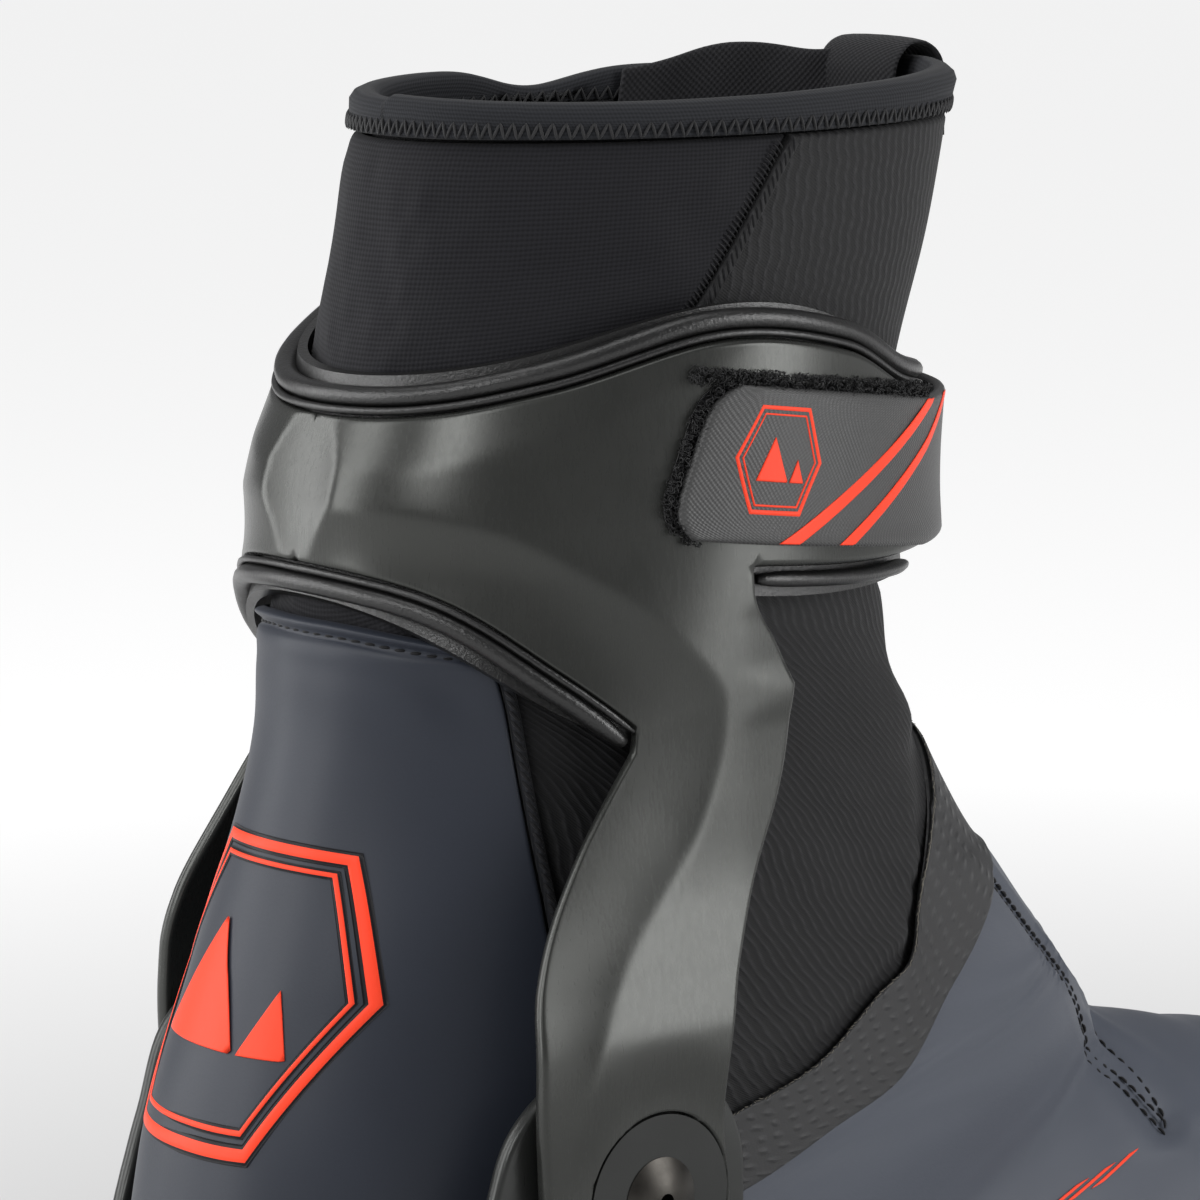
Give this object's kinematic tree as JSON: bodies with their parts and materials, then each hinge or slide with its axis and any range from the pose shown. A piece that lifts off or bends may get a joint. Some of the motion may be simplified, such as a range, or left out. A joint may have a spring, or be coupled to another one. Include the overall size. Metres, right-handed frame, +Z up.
{
  "type": "cross country skate boot",
  "caption": "Right cross country skate boot with a hinged ankle cuff, power strap, zipped lace cover and toe bar.",
  "frame": {"origin": "on the ground, under the middle of the boot's length and width", "axes": "+X to the toe, +Y to the medial side, +Z up"},
  "size_m": [0.3096, 0.0998, 0.247],
  "materials": {
    "sole_carbon": "satin",
    "tread_rubber": "matte",
    "bar_steel": "brushed",
    "board": "matte",
    "footbed_foam": "matte",
    "chassis_plastic": "gloss",
    "liner_fabric": "matte",
    "vamp_shell": "matte",
    "toe_rubber": "matte",
    "slate_shell": "matte",
    "band_shell": "matte",
    "tongue_fabric": "matte",
    "lace_cord": "matte",
    "webbing": "matte",
    "lock_plastic": "satin",
    "button_plastic": "satin",
    "zip_fabric": "matte",
    "zip_plastic": "gloss",
    "zip_metal": "satin",
    "ankle_twill": "matte",
    "cuff_plastic": "satin",
    "pad_rubber": "satin",
    "disc_plastic": "satin",
    "rivet_metal": "satin",
    "strap_fabric": "matte",
    "pile_fabric": "matte",
    "neoprene": "matte",
    "collar_twill": "matte",
    "binding_fabric": "matte"
  },
  "bodies": {
    "root": {"sole_plate": "sole_carbon", "forefoot_tread": "tread_rubber", "heel_tread": "tread_rubber", "toe_bar": "bar_steel", "insole_board": "board", "footbed": "footbed_foam", "ankle_chassis": "chassis_plastic", "bootie_liner": "liner_fabric", "vamp": "vamp_shell", "toe_cap": "toe_rubber", "heel_cover": "slate_shell", "instep_band": "band_shell", "lace_cover": "slate_shell", "tongue": "tongue_fabric", "laces": "lace_cord", "lace_loops": "webbing", "lace_lock_body": "lock_plastic", "zip_tape": "zip_fabric", "zip_coil": "zip_plastic", "ankle_bellows": "ankle_twill", "pivot_rivet_lateral": "rivet_metal", "pivot_rivet_medial": "rivet_metal", "pivot_nuts": "rivet_metal"},
    "cuff": {"cuff_shell": "cuff_plastic", "cuff_pad": "pad_rubber", "pivot_disc_lateral": "disc_plastic", "pivot_disc_medial": "disc_plastic", "strap_band": "strap_fabric", "loop_pile": "pile_fabric", "strap_rivets": "rivet_metal", "collar_rear": "neoprene", "collar_front": "collar_twill", "collar_lining": "liner_fabric", "collar_binding": "binding_fabric", "pull_loop": "webbing"},
    "strap_tab": {"strap_tab": "strap_fabric"},
    "zip_slider": {"zip_slider": "zip_metal"},
    "zip_pull": {"zip_pull": "zip_metal"},
    "lace_lock_button": {"lace_lock_button": "button_plastic"}
  },
  "joints": [
    {"name": "cuff_pivot", "type": "hinge", "parent": "root", "child": "cuff", "pos_m": [-0.09575, 0, 0.085], "axis": [0, 1, 0], "range_deg": [-8, 20], "stiffness_Nm_per_rad": 8, "deforming": ["ankle_bellows"]},
    {"name": "strap_peel", "type": "hinge", "parent": "cuff", "child": "strap_tab", "pos_m": [-0.03209, -0.03496, 0.184], "axis": [0, 0, 1], "range_deg": [0, 100]},
    {"name": "zip_slide", "type": "slide", "parent": "root", "child": "zip_slider", "axis": [0.4173, 0.1055, -0.9026], "range_m": [0, 0.024]},
    {"name": "zip_pull_swing", "type": "hinge", "parent": "zip_slider", "child": "zip_pull", "pos_m": [0.00098, 0.02371, 0.11862], "axis": [0.7192, -0.6455, 0.2571], "range_deg": [0, 160]},
    {"name": "lace_lock_press", "type": "slide", "parent": "root", "child": "lace_lock_button", "axis": [0.6869, 0.011, -0.7267], "range_m": [0, 0.002], "stiffness_N_per_m": 200, "springref_m": -0.001}
  ]
}
